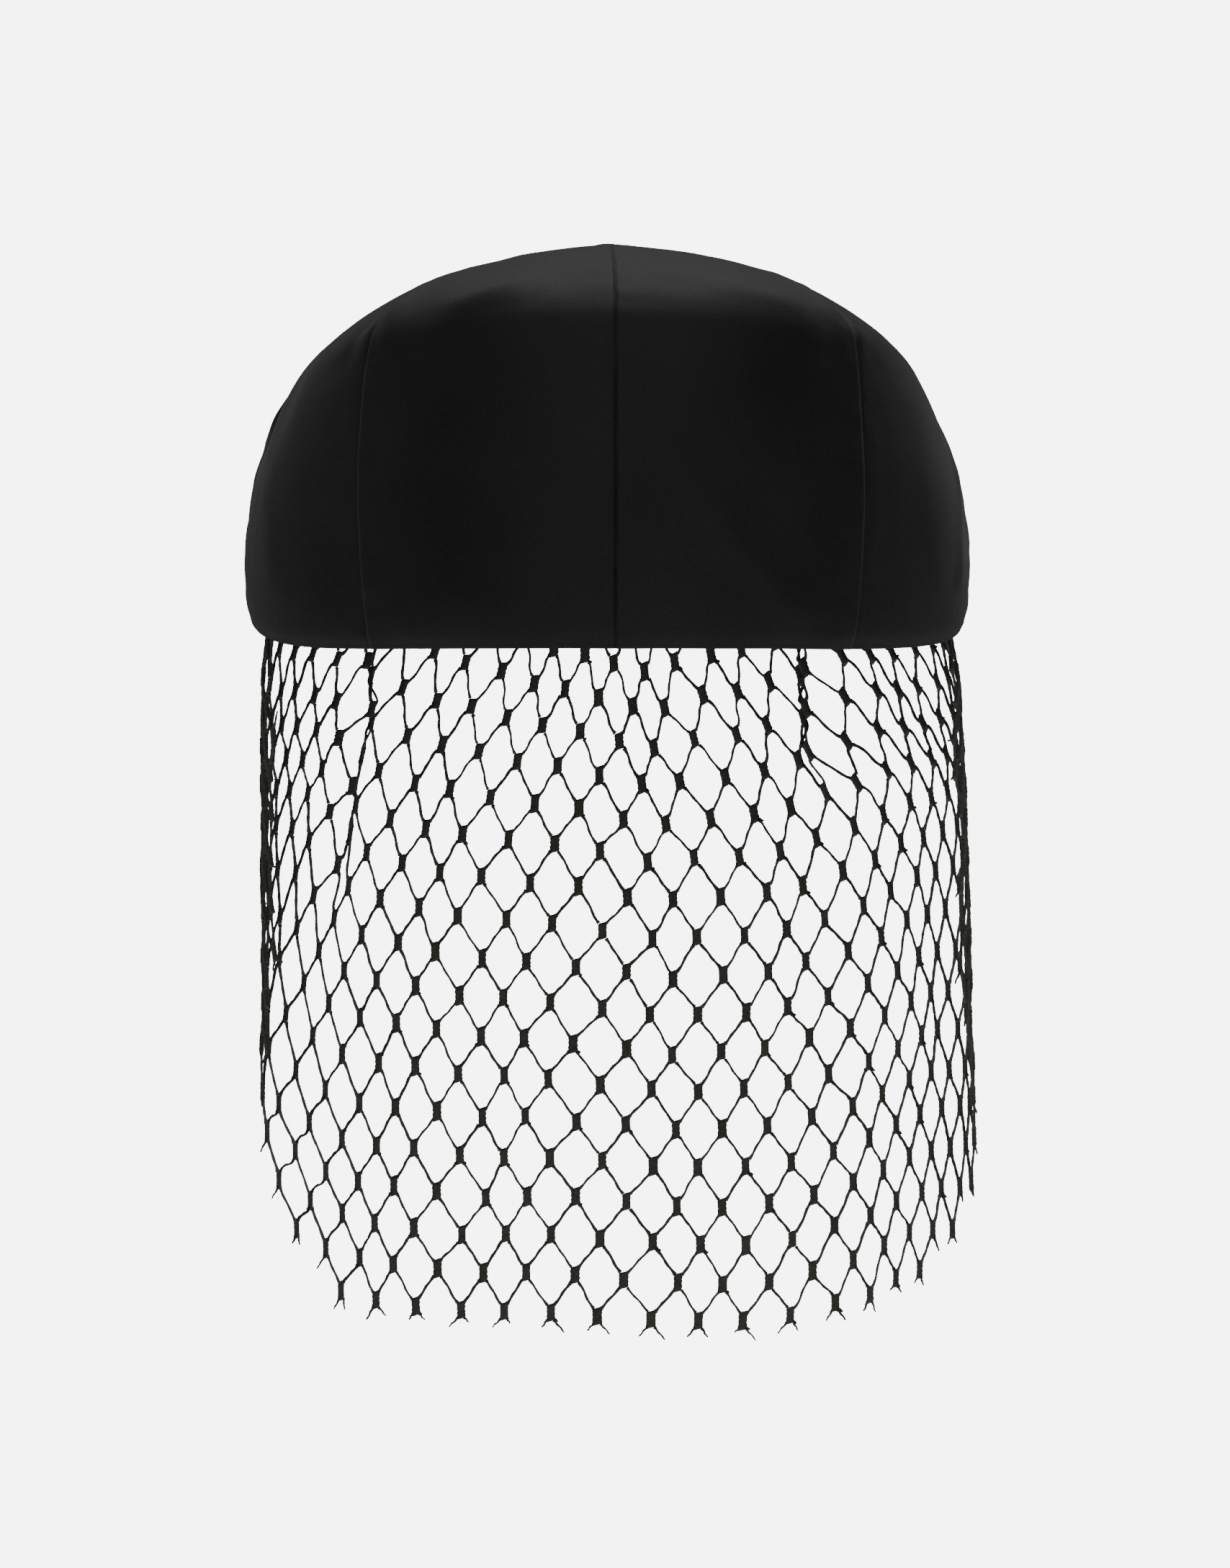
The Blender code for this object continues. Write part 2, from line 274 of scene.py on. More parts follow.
@dataclass(frozen=True)
class Gore:
    """One satin gore, from the hem to the button, with its seams, puckers and soft folds."""

    name: str
    low: float
    high: float
    crown: Crown
    columns: int = 56
    rows: int = 110
    lips: tuple[float, float] = (0.0, 0.0)
    seam_lap: float = 0.00006
    crowding: float = 0.88
    valley: float = 0.00042
    valley_width: float = 0.00042
    lip_width: float = 0.0036
    allowance: float = 0.00016
    allowance_width: float = 0.0055
    pucker: float = 0.00020
    pucker_reach: float = 0.0060
    pucker_pitch: float = 0.0048
    slack: float = 0.00022
    hem_edge: float = 0.0022
    hem_pinch: float = 0.00045

    def build(self, finish: "Finish") -> bpy.types.Object:
        """Build and dress the gore."""
        last = float(len(SECTIONS))
        places = []

        def surface(across: float, up: float) -> Vector:
            """A point of the gore, with the columns crowded towards both seams."""
            share = across - self.crowding / (2.0 * math.pi) * math.sin(2.0 * math.pi * across)
            level = last * up
            low, high = self.seam(self.low, level), self.seam(self.high, level)
            point = self.crown.point(low + share * (high - low), level)
            lap = math.degrees(0.5 * self.seam_lap / math.hypot(point.x, point.y))
            direction = low - lap + share * (high - low + 2.0 * lap)
            places.append((direction, level, share))
            return self.crown.point(direction, level)

        bm = Mesher.grid(self.columns, self.rows, surface)
        uv = bm.loops.layers.uv.new("cloth")
        seam = bm.verts.layers.float.new("seam")
        groove = bm.verts.layers.float.new("groove")
        relief = []
        for vert, (direction, level, share) in zip(bm.verts, places):
            width = math.hypot(vert.co.x, vert.co.y) * math.radians(self.high - self.low)
            edge = min(share, 1.0 - share) * width
            lip = self.lips[share > 0.5]
            # seam: distance to a proud seam's edge, which the satin paints lighter as wear and a painted
            # highlight.
            vert[seam] = edge if lip > PROUD_LIP else 1.0
            # groove: where the satin paints shade into the seam's valley near the crest.
            vert[groove] = self.crest(direction, level) * math.exp(-((edge / (2.0 * self.valley_width)) ** 2))
            relief.append(self.relief(direction, level, edge, lip, vert.co))
        for vert, rise in zip(bm.verts, relief):
            vert.co += vert.normal * rise
        flat = {vert: (place[2] - 0.5, place[1]) for vert, place in zip(bm.verts, places)}
        for face in bm.faces:
            for loop in face.loops:
                side, level = flat[loop.vert]
                around = math.hypot(loop.vert.co.x, loop.vert.co.y) * math.radians(self.high - self.low)
                loop[uv].uv = (side * around, level * SECTION_STEP)
        made = Mesher.add(self.name + "_satin", bm, finish, [self.name])
        Mesher.wall(made, self.crown.wall, 0.00015)
        return made

    @staticmethod
    def crest(direction: float, level: float) -> float:
        """How far a point is up on the crown's edge beside the side seams, where they draw in most."""
        turn = math.radians(direction)
        beside = min(1.0, 2.0 * abs(math.sin(turn))) * math.sqrt(max(0.0, math.cos(turn)))
        return beside * math.exp(-(((level - 6.6) / 1.5) ** 2))

    @staticmethod
    def seam(direction: float, level: float) -> float:
        """Where a seam runs at a height: it wanders a little on its way up."""
        sway, middle, spread = SEAM_SWAYS.get(direction, (0.0, 0.0, 1.0))
        return direction + sway * math.exp(-(((level - middle) / spread) ** 2))

    def relief(self, direction: float, level: float, edge: float, lip: float, place: Vector) -> float:
        """How far the cloth stands out of the plain crown at a point.

        Args:
            direction: The direction round the cap, in degrees.
            level: The height in sections.
            edge: The distance to the nearer seam.
            lip: How proud the cloth stands beside that seam.
            place: The point on the plain crown.

        Returns:
            The rise along the surface's normal, negative inwards.
        """
        crest = self.crest(direction, level)
        valley_width = self.valley_width * (1.0 + crest)
        rise = -self.valley * (1.0 + 2.2 * crest) * math.exp(-((edge / valley_width) ** 2))
        rise += self.allowance * math.exp(-((edge / self.allowance_width) ** 4))
        rise += lip * math.exp(-edge / self.lip_width)
        near = math.exp(-edge / self.pucker_reach) * min(1.0, edge / 0.0006)
        pitch = self.pucker_pitch
        ripple = noise.noise(Vector((direction * 0.02, place.z / pitch, place.y / pitch)))
        rise += self.pucker * near * ripple * 2.0
        rise += self.slack * noise.noise(place / 0.021) * 2.0
        rise += 0.45 * self.slack * noise.noise(place / 0.008 + Vector((7.0, 3.0, 5.0)))
        rise -= self.hem_pinch * math.exp(-(((place.z - self.crown.hem(direction)) / self.hem_edge) ** 2))
        for first_turn, first_level, last_turn, last_level, half_width, height in FOLDS:
            rise += height * self.fold_share(
                direction, level, (first_turn, first_level), (last_turn, last_level), half_width, place
            )
        return rise

    @staticmethod
    def fold_share(
        direction: float,
        level: float,
        start: tuple[float, float],
        end: tuple[float, float],
        half_width: float,
        place: Vector,
    ) -> float:
        """How much of a fold's rise a point has: 1 on its line, fading beside it and at its ends."""
        scale = math.radians(1.0) * math.hypot(place.x, place.y)
        step = SECTION_STEP
        line = Vector(((end[0] - start[0]) * scale, (end[1] - start[1]) * step))
        turn = (direction - start[0] + 180.0) % 360.0 - 180.0
        away = Vector((turn * scale, (level - start[1]) * step))
        if away.length > line.length + 4.0 * half_width:
            return 0.0
        share = away.dot(line) / line.length_squared
        beside = (away - line * min(1.0, max(0.0, share))).length
        if beside > 3.0 * half_width:
            return 0.0
        taper = math.sin(math.pi * min(1.0, max(0.0, 0.12 + 0.76 * share)))
        return taper * math.exp(-((beside / half_width) ** 2))


@dataclass(frozen=True)
class Button:
    """The satin-covered button where the gores meet, gathered towards its middle."""

    crown: Crown
    radius: float = 0.0065
    height: float = 0.0036
    shank_radius: float = 0.0030
    shank_depth: float = 0.0028
    arc_steps: int = 14
    turn_steps: int = 64
    gathers: int = 16
    gather_depth: float = 0.00016

    def build(self, finish: "Finish") -> bpy.types.Object:
        """Turn the button's profile, gather its cover and dress it."""
        base = self.crown.apex_share * self.crown.height + self.crown.seam_gap
        quarter = math.pi / 2.0 / self.arc_steps
        bm = bmesh.new()
        corners = [
            bm.verts.new((self.radius * math.sin(quarter * k), 0.0, self.height * math.cos(quarter * k)))
            for k in range(self.arc_steps + 1)
        ]
        corners += [
            bm.verts.new((radius, 0.0, height))
            for radius, height in (
                (self.radius * 0.93, -0.0002),
                (self.shank_radius, -0.0001),
                (self.shank_radius, -self.shank_depth),
                (0.0, -self.shank_depth),
            )
        ]
        edges = [bm.edges.new(pair) for pair in zip(corners, corners[1:])]
        bmesh.ops.spin(
            bm, geom=corners + edges, cent=(0.0, 0.0, 0.0), axis=(0.0, 0.0, 1.0),
            angle=2.0 * math.pi, steps=self.turn_steps, use_merge=True,
        )
        bmesh.ops.remove_doubles(bm, verts=list(bm.verts), dist=0.00001)
        bmesh.ops.recalc_face_normals(bm, faces=list(bm.faces))
        for vert in bm.verts:
            out = math.hypot(vert.co.x, vert.co.y) / self.radius
            turn = math.atan2(vert.co.y, vert.co.x)
            if vert.co.z > 0.0:
                crease = abs(math.sin(self.gathers * turn / 2.0 + 0.6 * math.sin(3.0 * turn)))
                vert.co *= 1.0 - self.gather_depth / self.radius * (1.0 - crease) * math.sin(math.pi * out)
        bmesh.ops.translate(bm, verts=list(bm.verts), vec=(0.0, 0.0, base))
        return Mesher.add("button_satin", bm, finish, ["button"])


@dataclass(frozen=True)
class Peak:
    """The covered peak under the front hem, with rows of stitching along its edge."""

    crown: Crown
    reach: float = 0.0480
    corner_reach: float = 0.0030
    thickness: float = 0.0032
    lap: float = 0.0006
    half_angle: float = 47.0
    slope: float = 10.0
    camber: float = 0.0015
    outline_power: float = 2.3
    forward_pull: float = 0.9
    columns: int = 120
    rows: int = 60
    stitch_rows: tuple[float, ...] = (0.0050, 0.0125, 0.0200)
    groove: float = 0.00028
    groove_width: float = 0.0008

    def build(self, finish: "Finish") -> bpy.types.Object:
        """Build and dress the peak."""
        fall = math.tan(math.radians(self.slope))
        tuck = self.crown.wall - self.thickness * math.sin(math.radians(self.slope)) - self.crown.seam_gap
        places = []

        def surface(across: float, out: float) -> Vector:
            """A point of the peak's upper side."""
            side = 2.0 * across - 1.0
            hem = self.crown.point(180.0 - side * self.half_angle, 0.0)
            outward = Vector((hem.x, hem.y, 0.0)).normalized()
            ahead = (outward + Vector((0.0, self.forward_pull, 0.0))).normalized()
            full = self.corner_reach + self.reach * (1.0 - abs(side) ** self.outline_power)
            gone = full * out
            places.append((gone, full, across))
            drop = fall * gone + self.camber * (gone / self.reach) ** 2 - self.lap
            return hem - outward * tuck + ahead * gone - Vector((0.0, 0.0, drop))

        bm = Mesher.grid(self.columns, self.rows, surface)
        uv = bm.loops.layers.uv.new("cloth")
        seam = bm.verts.layers.float.new("seam")
        flat = {}
        for vert, (gone, full, across) in zip(bm.verts, places):
            edge = full - gone
            vert[seam] = min(abs(edge - row) for row in self.stitch_rows) + 0.0004
            depth = sum(math.exp(-(((edge - row) / self.groove_width) ** 2)) for row in self.stitch_rows)
            vert.co -= vert.normal * self.groove * depth * min(1.0, full / 0.02)
            flat[vert] = (across * 0.15, edge)
        for face in bm.faces:
            for loop in face.loops:
                loop[uv].uv = flat[loop.vert]
        made = Mesher.add("peak_satin", bm, finish, ["peak"])
        Mesher.wall(made, self.thickness, 0.0009)
        return made


@dataclass(frozen=True)
class Knot:
    """One knot of the net: its place, its way up the net, and its way across it."""

    place: Vector
    up: Vector
    across: Vector
    out: Vector


@dataclass
class Net:
    """The coarse net veil: ribbed knots in staggered rows, joined by twisted strands."""

    crown: Crown
    side_radius: float = 0.0864
    front_radius: float = 0.0973
    half_angle: float = 105.0
    drop: float = 0.1760
    corner_power: float = 2.4
    right_corner_power: float = 2.75
    corner_share: float = 0.96
    fold_depth: float = 0.0016
    folds: float = 8.0
    right_flare: float = 0.0065
    header: float = 0.0100
    peak_thickness: float = 0.0032
    inset: float = 0.0010
    row_pitch: float = 0.01003
    first_row: float = -0.0124
    knot_length: float = 0.0047
    knot_width: float = 0.0025
    knot_depth: float = 0.0013
    rib_height: float = 0.06
    windings: float = 4.0
    stub_share: float = 0.33
    stub_fray: float = 0.8
    cut_fray: float = 0.55
    curve_reach: float = 0.30
    strand: float = 0.00078
    gathered_pitch: float = 5.2
    gathered_growth: float = 0.085
    opened_pitch: float = 9.0
    opened_loss: float = 0.1
    opening_start: float = 0.004
    opening_reach: float = 0.032
    opening_power: float = 1.3
    loose_below: float = 0.0300
    shake: float = 0.0006
    seed: int = 7
    knots: dict[tuple[int, int], Knot] = field(default_factory=dict)

    def cut_height(self, turn: float) -> float:
        """Height of the net's cut edge, rounded up at both sides."""
        power = self.right_corner_power if turn > 0.0 else self.corner_power
        rounding = (min(1.0, abs(turn) / self.half_angle) * self.corner_share) ** power
        return -self.drop * (1.0 - rounding) ** (1.0 / power)

    def hang(self, turn: float, height: float, inwards: float = 0.0) -> Vector:
        """The net's surface at a turn from the front, in degrees, and a height."""
        angle = math.radians(turn)
        hem = self.crown.hem(180.0 - turn)
        free = max(0.0, hem - self.peak_thickness - height) / self.drop
        swell = self.fold_depth * (math.cos(self.folds * angle) - 1.0) * free
        swell += self.right_flare * max(0.0, math.sin(angle)) ** 2 * math.sqrt(free)
        hidden = min(1.0, max(0.0, 1.0 - (free * self.drop - 0.001) / 0.012))
        swell -= self.inset * hidden + inwards
        return Vector((
            (self.side_radius + swell) * math.sin(angle),
            (self.front_radius + swell) * math.cos(angle),
            height,
        ))

    def lay_out(self, column: float, row: float) -> tuple[float, float, float]:
        """The turn, the height and the depth at which a knot hangs.

        Args:
            column: The knot's column, 0 at the middle of the front.
            row: The knot's half row, 0 just under the hem, growing downwards.

        Returns:
            The turn from the front in degrees, the height, and how far a fold draws it inwards.
        """
        height = self.first_row - self.row_pitch * row
        gone = max(0.0, -self.opening_start - height) / self.opening_reach
        spread = 1.0 - math.exp(-(gone**self.opening_power))
        gathered = self.gathered_pitch * column + self.gathered_growth * column * abs(column)
        opened = self.opened_pitch * column - self.opened_loss * column * abs(column)
        turn = gathered + (opened - gathered) * spread
        level = 1000.0 * height
        edge = min(3.5, max(0.0, -column - 5.0)) ** 2
        turn -= 1.3 * edge * min(1.0, max(0.0, (-level - 85.0) / 45.0))
        turn, depth = self.crumple(turn, height)
        if column < 1.5:
            over = 1.5 - column
            over = min(over, 9.0) + 0.3 * max(0.0, over - 9.0)
            rise = over * (max(0.5, 1.75 + 0.0092 * level) + 0.09 * over)
        else:
            over = column - 1.5
            over = min(over, 6.0) + 0.3 * max(0.0, over - 6.0)
            low = min(1.0, max(0.0, (-level - 12.0) / 58.0))
            rise = over * (1.6 * (1.0 - low) + (0.07 + 0.35 * low) * over)
        rise += 0.85 * edge * min(1.0, max(0.0, (-level - 30.0) / 40.0))
        return turn, height + 0.001 * rise, depth

    @staticmethod
    def crumple(turn: float, height: float) -> tuple[float, float]:
        """Draw the net together along its folds, which opens the meshes beside them.

        Args:
            turn: The turn from the front, in degrees.
            height: The height.

        Returns:
            The turn on the folded net, and how far the net stands inwards there.
        """
        depth = 0.0
        for high_turn, high, low_turn, low, half_width, draw in NET_FOLDS:
            share = (high - height) / (high - low)
            if -0.3 < share < 1.3:
                away = turn - (high_turn + (low_turn - high_turn) * share)
                held = min(1.0, (0.3 + share) / 0.4, (1.3 - share) / 0.4)
                side = math.copysign(1.0, high_turn)
                turn -= side * draw * held * 0.5 * (1.0 + math.tanh(side * away / half_width))
                depth += FOLD_DRAUGHT * held * math.exp(-((away / half_width) ** 2))
        return turn, depth

    def place_knots(self) -> None:
        """Place every knot that lies between the header and the cut edge."""
        dice = random.Random(self.seed)
        placed = {}
        for row in range(-6, 18):
            for half in range(-34, 35):
                if (half + row) % 2:
                    continue
                turn, height, depth = self.lay_out(half / 2.0, row)
                sway = Vector((half * 0.31, row * 0.23, 0.5))
                turn += (0.9 + 0.03 * max(0, half)) * noise.noise(sway) + 0.25 * dice.uniform(-1.0, 1.0)
                shift = 2.2 * noise.noise(sway + Vector((9.0, 4.0, 2.0))) + 0.5 * dice.uniform(-1.0, 1.0)
                height += self.shake * shift
                placed[half, row] = (turn, height, depth + dice.uniform(-0.4, 0.5) * self.shake)
        kept = {
            key: self.hang(turn, height, depth)
            for key, (turn, height, depth) in placed.items()
            if abs(turn) <= self.half_angle
            and self.cut_height(turn) <= height <= self.crown.hem(180.0 - turn) + self.header
        }
        spots = {key: self.hang(turn, height, depth) for key, (turn, height, depth) in placed.items()}
        for (half, row), spot in kept.items():
            above = [spots.get((half + side, row - 1), spot + Vector((0, 0, 0.01))) for side in (-1, 1)]
            below = [spots.get((half + side, row + 1), spot - Vector((0, 0, 0.01))) for side in (-1, 1)]
            up = (above[0] + above[1] - below[0] - below[1]).normalized()
            across = above[1] + below[1] - above[0] - below[0]
            across = (across - up * across.dot(up)).normalized()
            self.knots[half, row] = Knot(spot, up, across, up.cross(across))

    def strand_shape(self) -> bpy.types.Mesh:
        """A slim rod along Z from 0 to 1, with a ring for each of its steps."""
        bm = bmesh.new()
        bmesh.ops.create_cone(bm, cap_ends=True, segments=5, radius1=0.5, radius2=0.5, depth=1.0)
        bmesh.ops.translate(bm, verts=list(bm.verts), vec=(0.0, 0.0, 0.5))
        return self.ringed(bm, 8, "strand")

    def knot_shape(self) -> bpy.types.Mesh:
        """A ribbed block along Z from 0 to 1: four turns of strand wound round the knot."""
        bm = bmesh.new()
        bmesh.ops.create_cone(bm, cap_ends=True, segments=7, radius1=0.5, radius2=0.5, depth=1.0)
        bmesh.ops.translate(bm, verts=list(bm.verts), vec=(0.0, 0.0, 0.5))
        return self.ringed(bm, 8, "knot")

    @staticmethod
    def ringed(bm: bmesh.types.BMesh, rings: int, name: str) -> bpy.types.Mesh:
        """Cut a rod from 0 to 1 along Z into rings, and store it as a mesh."""
        for step in range(1, rings):
            bmesh.ops.bisect_plane(
                bm, geom=list(bm.verts) + list(bm.edges) + list(bm.faces),
                plane_co=(0.0, 0.0, step / rings), plane_no=(0.0, 0.0, 1.0),
            )
        mesh = bpy.data.meshes.new(name)
        bm.to_mesh(mesh)
        bm.free()
        return mesh

    @staticmethod
    def stamp(bm: bmesh.types.BMesh, shape: bpy.types.Mesh, move: Callable[[Vector], Vector]) -> None:
        """Add a copy of a shape, each of its points moved."""
        first = len(bm.verts)
        bm.from_mesh(shape)
        bm.verts.ensure_lookup_table()
        for vert in bm.verts[first:]:
            vert.co = move(vert.co)

    def add_knot(self, bm: bmesh.types.BMesh, shape: bpy.types.Mesh, knot: Knot, dice: random.Random) -> None:
        """Wind one knot, a little different from the next."""
        long = self.knot_length * dice.uniform(0.92, 1.08)
        wide = self.knot_width * dice.uniform(0.92, 1.10)
        phase = dice.uniform(-0.15, 0.15)

        def move(point: Vector) -> Vector:
            """A point of the wound block."""
            slant = 0.07 * point.x / 0.5
            rib = 1.0 + self.rib_height * math.cos(2.0 * self.windings * math.pi * (point.z + phase))
            end = 0.96 + 0.12 * abs(2.0 * point.z - 1.0) - 0.20 * abs(2.0 * point.z - 1.0) ** 8
            return (
                knot.place
                + knot.across * (point.x * wide * rib * end)
                + knot.out * (point.y * self.knot_depth * rib * end)
                + knot.up * ((point.z - 0.5 + slant) * long)
            )

        self.stamp(bm, shape, move)

    def add_strand(
        self,
        bm: bmesh.types.BMesh,
        shape: bpy.types.Mesh,
        ends: tuple[Vector, Vector],
        ways: tuple[Vector, Vector],
        outs: tuple[Vector, Vector],
        dice: random.Random,
        fray: float = 1.0,
    ) -> None:
        """Lay one strand along a curve.

        Args:
            bm: The net's mesh.
            shape: The rod that is bent.
            ends: Where the strand starts and ends.
            ways: The way it leaves each end.
            outs: The way out of the net at each end.
            dice: The source of its small differences.
            fray: How much thinner its far end is.
        """
        reach = (ends[1] - ends[0]).length * self.curve_reach
        hooks = (ends[0] + ways[0] * reach, ends[1] + ways[1] * reach)
        thick = self.strand * dice.uniform(0.88, 1.14)
        twist = dice.uniform(0.0, 6.0)

        def move(point: Vector) -> Vector:
            """A point of the bent rod."""
            step = point.z
            rest = 1.0 - step
            spot = (
                ends[0] * rest**3 + hooks[0] * (3.0 * rest**2 * step)
                + hooks[1] * (3.0 * rest * step**2) + ends[1] * step**3
            )
            ahead = (
                (hooks[0] - ends[0]) * rest**2 + (hooks[1] - hooks[0]) * (2.0 * rest * step)
                + (ends[1] - hooks[1]) * step**2
            ).normalized()
            out = outs[0].lerp(outs[1], step)
            out = (out - ahead * out.dot(ahead)).normalized()
            side = ahead.cross(out)
            lump = thick * (1.0 + 0.12 * math.sin(5.0 * math.pi * step + twist)) * (1.0 + (fray - 1.0) * step)
            lump *= 1.0 + 0.45 * (math.exp(-step / 0.07) + (math.exp(-rest / 0.07) if fray == 1.0 else 0.0))
            wave = 0.00012 * math.sin(3.0 * math.pi * step + twist) * math.sin(math.pi * step)
            return spot + side * (point.x * lump + wave) + out * (point.y * lump)

        self.stamp(bm, shape, move)

    def build(self, finish: "Finish") -> bpy.types.Object:
        """Build and dress the net."""
        self.place_knots()
        dice = random.Random(self.seed + 1)
        knot_shape, strand_shape = self.knot_shape(), self.strand_shape()
        bm = bmesh.new()
        half_long, half_wide = 0.42 * self.knot_length, 0.38 * self.knot_width
        for (half, row), knot in sorted(self.knots.items()):
            self.add_knot(bm, knot_shape, knot, dice)
            outs = (knot.out, knot.out)
            for side in (-1, 1):
                start = knot.place - knot.up * half_long + knot.across * (side * half_wide)
                below = self.knots.get((half + side, row + 1))
                way = (-knot.up + knot.across * (0.9 * side)).normalized()
                if below:
                    end = below.place + below.up * half_long - below.across * (side * half_wide)
                    back = (below.up - below.across * (0.9 * side)).normalized()
                    self.add_strand(bm, strand_shape, (start, end), (way, back), (knot.out, below.out), dice)
                else:
                    length = dice.uniform(0.0016, 0.0044)
                    end = start + (way - knot.out * dice.uniform(-0.3, 0.3)).normalized() * length
                    self.add_strand(bm, strand_shape, (start, end), (way, -way), outs, dice, self.cut_fray)
                beside = (half + side, row - 1)
                if beside not in self.knots and knot.place.z < self.crown.hem(90.0) - self.loose_below:
                    start = knot.place + knot.up * half_long + knot.across * (side * half_wide)
                    way = knot.up * 0.5 + knot.across * side + knot.out * dice.uniform(-0.1, 0.5)
                    way.normalize()
                    end = start + way * dice.uniform(0.0025, 0.0060)
                    self.add_strand(bm, strand_shape, (start, end), (way, -way), outs, dice, self.cut_fray)
            if dice.random() < self.stub_share:
                start = knot.place - knot.up * (0.30 * self.knot_length)
                start = start + knot.across * (0.3 * self.knot_width)
                way = (knot.across - knot.up * 0.7 + knot.out * 0.3).normalized()
                end = start + way * dice.uniform(0.0010, 0.0017)
                self.add_strand(bm, strand_shape, (start, end), (way, -way), outs, dice, self.stub_fray)
        bmesh.ops.recalc_face_normals(bm, faces=list(bm.faces))
        for shape in (knot_shape, strand_shape):
            bpy.data.meshes.remove(shape)
        log.info("net: %d knots", len(self.knots))
        return Mesher.add("veil_net", bm, finish, ["veil"])


class Signal:
    """A shader socket whose arithmetic makes Math nodes."""

    def __init__(self, shader: "Shader", socket: bpy.types.NodeSocket) -> None:
        """Wrap an output socket of a shader's node."""
        self.shader, self.socket = shader, socket

    def __add__(self, other: "Signal | float") -> "Signal":
        """Signal plus value."""
        return self.shader.math("ADD", self, other)

    def __radd__(self, other: float) -> "Signal":
        """Value plus signal."""
        return self.shader.math("ADD", other, self)

    def __mul__(self, other: "Signal | float") -> "Signal":
        """Signal times value."""
        return self.shader.math("MULTIPLY", self, other)

    def __rmul__(self, other: float) -> "Signal":
        """Value times signal."""
        return self.shader.math("MULTIPLY", other, self)


class Shader:
    """The nodes of one material."""

    def __init__(self, name: str) -> None:
        """Start a material with its Principled shader."""
        self.material = bpy.data.materials.new(name)
        self.material.use_nodes = True
        self.tree = self.material.node_tree
        self.surface = self.tree.nodes["Principled BSDF"]

    def feed(self, socket: bpy.types.NodeSocket, value: object) -> None:
        """Link or set one input socket."""
        if isinstance(value, Signal):
            self.tree.links.new(value.socket, socket)
        elif isinstance(value, bpy.types.NodeSocket):
            self.tree.links.new(value, socket)
        else:
            socket.default_value = value

    def node(self, kind: str, settings: dict[str, object], inputs: dict[str | int, object]) -> bpy.types.Node:
        """A node of a type, its settings made first and then its sockets fed."""
        made = self.tree.nodes.new(kind)
        for name, value in settings.items():
            setattr(made, name, value)
        for name, value in inputs.items():
            self.feed(made.inputs[name], value)
        return made

    def math(self, operation: str, *values: Signal | float) -> Signal:
        """A Math node."""
        made = self.node("ShaderNodeMath", {"operation": operation}, dict(enumerate(values)))
        return Signal(self, made.outputs[0])

    def noise(self, place: object, scale: float, detail: float = 2.0, roughness: float = 0.5) -> Signal:
        """A noise texture's factor."""
        made = self.node(
            "ShaderNodeTexNoise", {},
            {"Vector": place, "Scale": scale, "Detail": detail, "Roughness": roughness},
        )
        return Signal(self, made.outputs["Fac"])

    def attribute(self, name: str) -> Signal:
        """A number stored on the mesh."""
        made = self.node("ShaderNodeAttribute", {"attribute_name": name}, {})
        return Signal(self, made.outputs["Fac"])

    def remap(self, value: Signal, low: float, high: float, to_low: float, to_high: float) -> Signal:
        """A Map Range node that keeps inside its ends."""
        made = self.node(
            "ShaderNodeMapRange", {"clamp": True},
            {"Value": value, "From Min": low, "From Max": high, "To Min": to_low, "To Max": to_high},
        )
        return Signal(self, made.outputs["Result"])

    def blend(self, factor: Signal, low: object, high: object) -> bpy.types.NodeSocket:
        """A Mix node on two colours."""
        made = self.tree.nodes.new("ShaderNodeMix")
        made.data_type = "RGBA"
        colours = [socket for socket in made.inputs if socket.type == "RGBA"]
        self.feed(made.inputs["Factor"], factor)
        self.feed(colours[0], low)
        self.feed(colours[1], high)
        return next(socket for socket in made.outputs if socket.type == "RGBA")

    def stretched(self, place: object, shares: tuple[float, float, float]) -> bpy.types.NodeSocket:
        """Coordinates multiplied along each axis."""
        return self.node(
            "ShaderNodeVectorMath", {"operation": "MULTIPLY"}, {0: place, 1: shares}
        ).outputs[0]

    def bump(self, height: Signal, distance: float, strength: float) -> None:
        """Put a bump on the surface's normal."""
        made = self.node("ShaderNodeBump", {}, {"Height": height, "Distance": distance, "Strength": strength})
        self.feed(self.surface.inputs["Normal"], made.outputs["Normal"])


@dataclass(frozen=True)
class Finish:
    """A finish: its record slot, its base colour and its gloss."""

    slot: Slot
    colour: tuple[float, float, float]
    roughness: float

    def dress(self, made: bpy.types.Object) -> None:
        """Give an object this finish."""
        name = "finish_" + self.slot.value
        material = bpy.data.materials.get(name) or self.make(Shader(name))
        made.data.materials.append(material)

    def make(self, shader: Shader) -> bpy.types.Material:
        """Build the finish's nodes."""
        raise NotImplementedError


